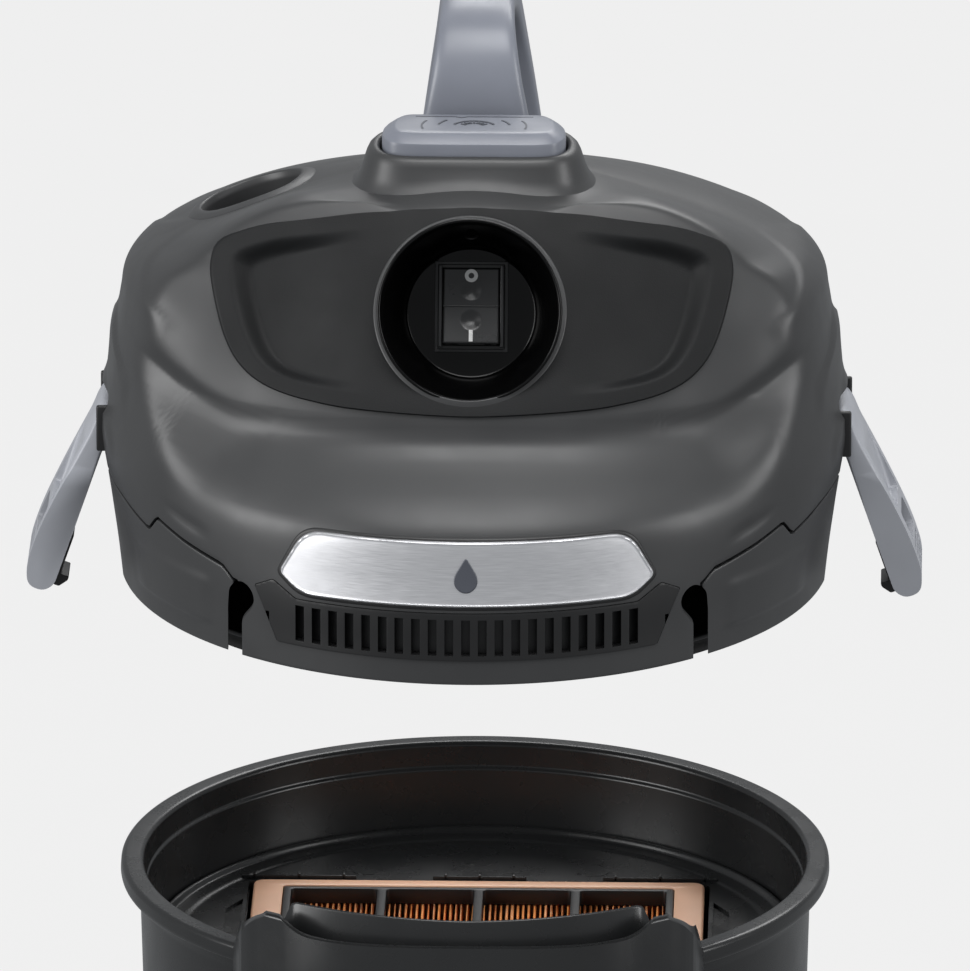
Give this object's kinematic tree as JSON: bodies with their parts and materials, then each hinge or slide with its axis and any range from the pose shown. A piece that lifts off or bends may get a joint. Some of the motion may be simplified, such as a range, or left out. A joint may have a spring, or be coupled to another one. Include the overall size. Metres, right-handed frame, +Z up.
{
  "type": "shop vacuum",
  "caption": "Wet and dry shop vacuum, round container on casters with a flat pleated filter, motor head lifted off, side latches open.",
  "frame": {"origin": "on the floor, under the middle of the whole object's box", "axes": "+Z up and along the longest extent, -Y towards the hose inlet and switch, +X to the right seen from the front"},
  "size_m": [0.4084, 0.373, 0.7021],
  "materials": {
    "charcoal_plastic": "fine satin grain, charcoal",
    "container_plastic": "satin outside, glossier inside, charcoal",
    "panel_plastic": "fine spark-eroded grain, near black",
    "black_plastic": "moulded black plastic, satin",
    "gloss_black": "high gloss black",
    "grey_plastic": "light grey moulded plastic, satin",
    "soft_rubber": "matt black rubber",
    "steel": "bright machined steel",
    "silver_plate": "brushed silver, soft gradient",
    "copper_plastic": "peach and copper coloured moulded plastic",
    "filter_paper": "pleated orange filter paper with pale folds"
  },
  "bodies": {
    "container": {"container_body": "container_plastic", "base_chassis": "black_plastic", "inlet_fairing": "container_plastic", "hose_inlet_collar": "black_plastic", "inlet_deflector": "black_plastic", "filter_deck": "container_plastic", "deck_seal": "soft_rubber", "filter_box": "black_plastic"},
    "cartridge": {"filter_frame": "copper_plastic", "filter_pleats": "filter_paper", "filter_grid": "black_plastic"},
    "head": {"head_shell": "charcoal_plastic", "side_skirts": "charcoal_plastic", "shield_panel": "panel_plastic", "exhaust_grille": "black_plastic", "name_plate": "silver_plate", "switch_dish": "gloss_black", "rocker_bezel": "gloss_black", "switch_body": "black_plastic", "accessory_socket": "black_plastic", "button_collar": "charcoal_plastic", "button_guide": "black_plastic", "carrying_handle": "grey_plastic", "handle_grip": "soft_rubber", "head_base_plate": "black_plastic", "head_gasket": "soft_rubber", "float_cage": "black_plastic", "motor_housing": "black_plastic", "motor_stator": "steel", "lower_bearing": "steel", "upper_bearing": "steel", "cord_gland": "soft_rubber", "button_spring": "steel", "base_screw_1": "steel", "base_screw_2": "steel", "base_screw_3": "steel", "base_screw_4": "steel", "latch_bracket_right": "black_plastic", "latch_pin_right": "steel", "latch_bracket_left": "black_plastic", "latch_pin_left": "steel"},
    "float": {"float_ball": "grey_plastic"},
    "rotor": {"motor_rotor": "steel", "fan_impeller": "black_plastic"},
    "button": {"cleaning_button": "grey_plastic", "button_plunger": "black_plastic", "valve_disc": "soft_rubber"},
    "rocker": {"power_rocker": "gloss_black"},
    "right_latch": {"latch_lever_right": "grey_plastic", "latch_claw_right": "black_plastic"},
    "left_latch": {"latch_lever_left": "grey_plastic", "latch_claw_left": "black_plastic"},
    "fork_back_right": {"caster_fork_back_right": "black_plastic"},
    "wheel_back_right": {"caster_wheel_back_right": "soft_rubber"},
    "fork_back_left": {"caster_fork_back_left": "black_plastic"},
    "wheel_back_left": {"caster_wheel_back_left": "soft_rubber"},
    "fork_front_left": {"caster_fork_front_left": "black_plastic"},
    "wheel_front_left": {"caster_wheel_front_left": "soft_rubber"},
    "fork_front_right": {"caster_fork_front_right": "black_plastic"},
    "wheel_front_right": {"caster_wheel_front_right": "soft_rubber"}
  },
  "joints": [
    {"name": "head_lift", "type": "slide", "parent": "container", "child": "head", "axis": [0, 0, 1], "range_m": [-0.145, 0.06]},
    {"name": "filter_lift", "type": "slide", "parent": "container", "child": "cartridge", "axis": [0, 0, 1], "range_m": [0, 0.06]},
    {"name": "button_press", "type": "slide", "parent": "head", "child": "button", "axis": [0, 0, -1], "range_m": [0, 0.006], "stiffness_N_per_m": 900, "springref_m": -0.004, "deforming": ["button_spring"]},
    {"name": "power_switch", "type": "hinge", "parent": "head", "child": "rocker", "pos_m": [0, -0.06824, 0.59224], "axis": [1, 0, 0], "range_deg": [0, 14]},
    {"name": "fan_spin", "type": "hinge", "parent": "head", "child": "rotor", "pos_m": [0, 0.0025, 0.5056], "axis": [0, 0, 1], "continuous": true},
    {"name": "float_rise", "type": "slide", "parent": "head", "child": "float", "axis": [0, 0, 1], "range_m": [0, 0.006]},
    {"name": "latch_right", "type": "hinge", "parent": "head", "child": "right_latch", "pos_m": [0.168, 0.0025, 0.5176], "axis": [0, -1, 0], "range_deg": [-19, 20]},
    {"name": "latch_left", "type": "hinge", "parent": "head", "child": "left_latch", "pos_m": [-0.168, 0.0025, 0.5176], "axis": [0, 1, 0], "range_deg": [-19, 20]},
    {"name": "swivel_back_right", "type": "hinge", "parent": "container", "child": "fork_back_right", "pos_m": [0.11172, 0.11422, 0.04], "axis": [0, 0, 1], "continuous": true},
    {"name": "wheel_spin_back_right", "type": "hinge", "parent": "fork_back_right", "child": "wheel_back_right", "pos_m": [0.12572, 0.11422, 0.0175], "axis": [0, 1, 0], "continuous": true},
    {"name": "swivel_back_left", "type": "hinge", "parent": "container", "child": "fork_back_left", "pos_m": [-0.11172, 0.11422, 0.04], "axis": [0, 0, 1], "continuous": true},
    {"name": "wheel_spin_back_left", "type": "hinge", "parent": "fork_back_left", "child": "wheel_back_left", "pos_m": [-0.09772, 0.11422, 0.0175], "axis": [0, 1, 0], "continuous": true},
    {"name": "swivel_front_left", "type": "hinge", "parent": "container", "child": "fork_front_left", "pos_m": [-0.11172, -0.10922, 0.04], "axis": [0, 0, 1], "continuous": true},
    {"name": "wheel_spin_front_left", "type": "hinge", "parent": "fork_front_left", "child": "wheel_front_left", "pos_m": [-0.09772, -0.10922, 0.0175], "axis": [0, 1, 0], "continuous": true},
    {"name": "swivel_front_right", "type": "hinge", "parent": "container", "child": "fork_front_right", "pos_m": [0.11172, -0.10922, 0.04], "axis": [0, 0, 1], "continuous": true},
    {"name": "wheel_spin_front_right", "type": "hinge", "parent": "fork_front_right", "child": "wheel_front_right", "pos_m": [0.12572, -0.10922, 0.0175], "axis": [0, 1, 0], "continuous": true}
  ]
}
